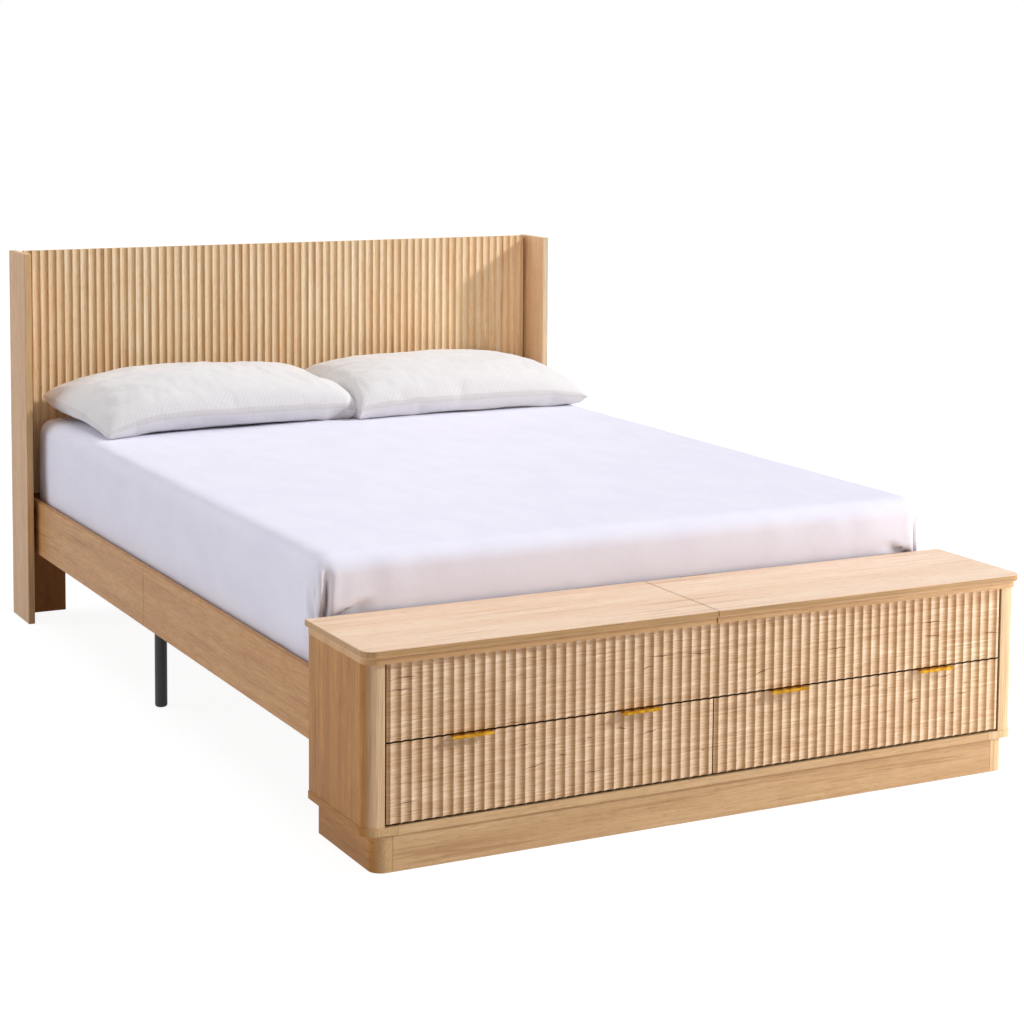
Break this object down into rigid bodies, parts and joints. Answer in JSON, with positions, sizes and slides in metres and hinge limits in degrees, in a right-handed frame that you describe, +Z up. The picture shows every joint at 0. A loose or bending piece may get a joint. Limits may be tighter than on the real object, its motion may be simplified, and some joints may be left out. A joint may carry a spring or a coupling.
{
  "type": "bed with storage bench",
  "caption": "Bed with a winged, fluted headboard, slatted base, mattress and pillows, and a storage bench at its foot with hinged lids and fluted drawers.",
  "frame": {"origin": "on the floor, under the middle of the whole bed", "axes": "+X to the right seen from the foot, +Y from the foot to the headboard, +Z up"},
  "size_m": [1.627, 2.394, 1.028],
  "materials": {
    "oak": "satin, clear lacquered",
    "oak_inner": "matt",
    "pine": "planed, bare",
    "black_steel": "matt powder coat",
    "zinc": "zinc plated",
    "brass": "brushed",
    "black_plastic": "matt",
    "sheet": "woven cotton",
    "pillow": "woven cotton"
  },
  "bodies": {
    "frame": {"headboard_fluted_board": "oak", "wing_left": "oak", "wing_right": "oak", "headboard_post_left": "oak", "headboard_post_right": "oak", "headboard_top_rail": "oak", "headboard_lower_rail": "oak", "rail_left_head": "oak", "rail_left_foot": "oak", "rail_right_head": "oak", "rail_right_foot": "oak", "rail_joint_plates": "black_steel", "slat_ledges": "pine", "center_beam_head": "pine", "center_beam_foot": "pine", "slats": "pine", "rail_legs": "black_steel", "center_legs": "black_steel", "leg_glides": "black_plastic", "bed_brackets": "black_steel", "bracket_bolts": "zinc", "bench_side_left": "oak", "bench_side_right": "oak", "bench_back": "oak", "bench_bottom": "oak_inner", "bin_floor": "oak_inner", "drawer_divider": "oak_inner", "bin_divider": "oak_inner", "upper_fluted_front": "oak", "base_moulding_left": "oak", "base_moulding_right": "oak", "base_moulding_front": "oak", "plinth_left": "oak", "plinth_right": "oak", "plinth_front": "oak", "plinth_back": "oak_inner", "runner_battens": "pine", "drawer_channels": "zinc", "lid_hinge_fixed_leaves": "black_steel", "lid_hinge_pins": "zinc", "mattress": "sheet", "pillow_left": "pillow", "pillow_right": "pillow"},
    "lid_left": {"lid_left_board": "oak", "lid_left_edging": "oak", "lid_left_hinge_leaves": "black_steel"},
    "lid_right": {"lid_right_board": "oak", "lid_right_edging": "oak", "lid_right_hinge_leaves": "black_steel"},
    "drawer_left": {"drawer_left_front": "oak", "drawer_left_box": "oak_inner", "drawer_left_bottom": "oak_inner", "drawer_left_runners": "zinc", "drawer_left_handles": "brass"},
    "drawer_right": {"drawer_right_front": "oak", "drawer_right_box": "oak_inner", "drawer_right_bottom": "oak_inner", "drawer_right_runners": "zinc", "drawer_right_handles": "brass"}
  },
  "joints": [
    {"name": "lid_left_hinge", "type": "hinge", "parent": "frame", "child": "lid_left", "pos_m": [-0.395, -0.895, 0.437], "axis": [-1, 0, 0], "range_deg": [0, 88]},
    {"name": "lid_right_hinge", "type": "hinge", "parent": "frame", "child": "lid_right", "pos_m": [0.395, -0.895, 0.437], "axis": [-1, 0, 0], "range_deg": [0, 88]},
    {"name": "drawer_left_slide", "type": "slide", "parent": "frame", "child": "drawer_left", "axis": [0, -1, 0], "range_m": [0, 0.165]},
    {"name": "drawer_right_slide", "type": "slide", "parent": "frame", "child": "drawer_right", "axis": [0, -1, 0], "range_m": [0, 0.165]}
  ]
}
